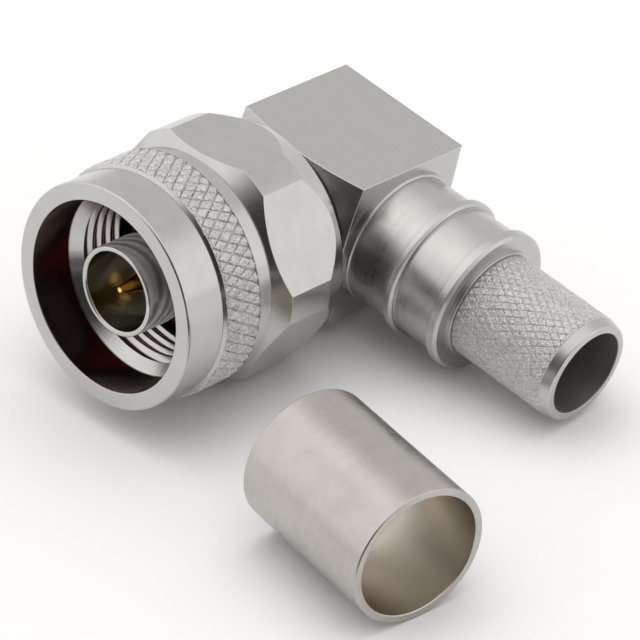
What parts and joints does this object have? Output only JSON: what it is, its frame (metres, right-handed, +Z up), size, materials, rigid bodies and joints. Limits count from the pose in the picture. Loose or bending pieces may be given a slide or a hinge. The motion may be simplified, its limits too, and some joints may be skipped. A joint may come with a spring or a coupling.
{
  "type": "right-angle coaxial plug",
  "caption": "Right-angle coaxial plug with a free-turning knurled and hexagonal coupling nut, a square elbow and a knurled crimp stem, its crimp ferrule lying beside it.",
  "frame": {"origin": "centre of the outer contact's front face, which is the mating reference plane", "axes": "+Z up from the surface that the plug lies on; the mating axis points to -Y, raised 7.5 degrees at the mouth; the stem points to +X, dropped 7.0 degrees"},
  "size_m": [0.0488, 0.0423, 0.0224],
  "materials": {
    "nut_plate": "satin nickel plate over brass",
    "ring_plate": "satin nickel plate over brass",
    "contact_plate": "satin nickel plate over brass",
    "block_plate": "satin nickel plate over brass",
    "stem_plate": "satin nickel plate over brass",
    "cap_plate": "satin nickel plate over brass",
    "ferrule_plate": "satin nickel plate over brass",
    "gasket_rubber": "matt red silicone",
    "pin_gold": "bright gold plate",
    "white_insulator": "white fluoropolymer"
  },
  "bodies": {
    "body": {"retaining_ring": "ring_plate", "outer_contact": "contact_plate", "gasket": "gasket_rubber", "center_pin": "pin_gold", "front_insulator": "white_insulator", "rear_insulator": "white_insulator", "elbow_block": "block_plate", "crimp_stem": "stem_plate", "cable_insulator": "white_insulator", "access_cap": "cap_plate", "crimp_ferrule": "ferrule_plate"},
    "nut": {"coupling_nut": "nut_plate"}
  },
  "joints": [
    {"name": "nut_spin", "type": "hinge", "parent": "body", "child": "nut", "pos_m": [0, 0, 0], "axis": [0, -0.9914, 0.1307], "continuous": true}
  ]
}
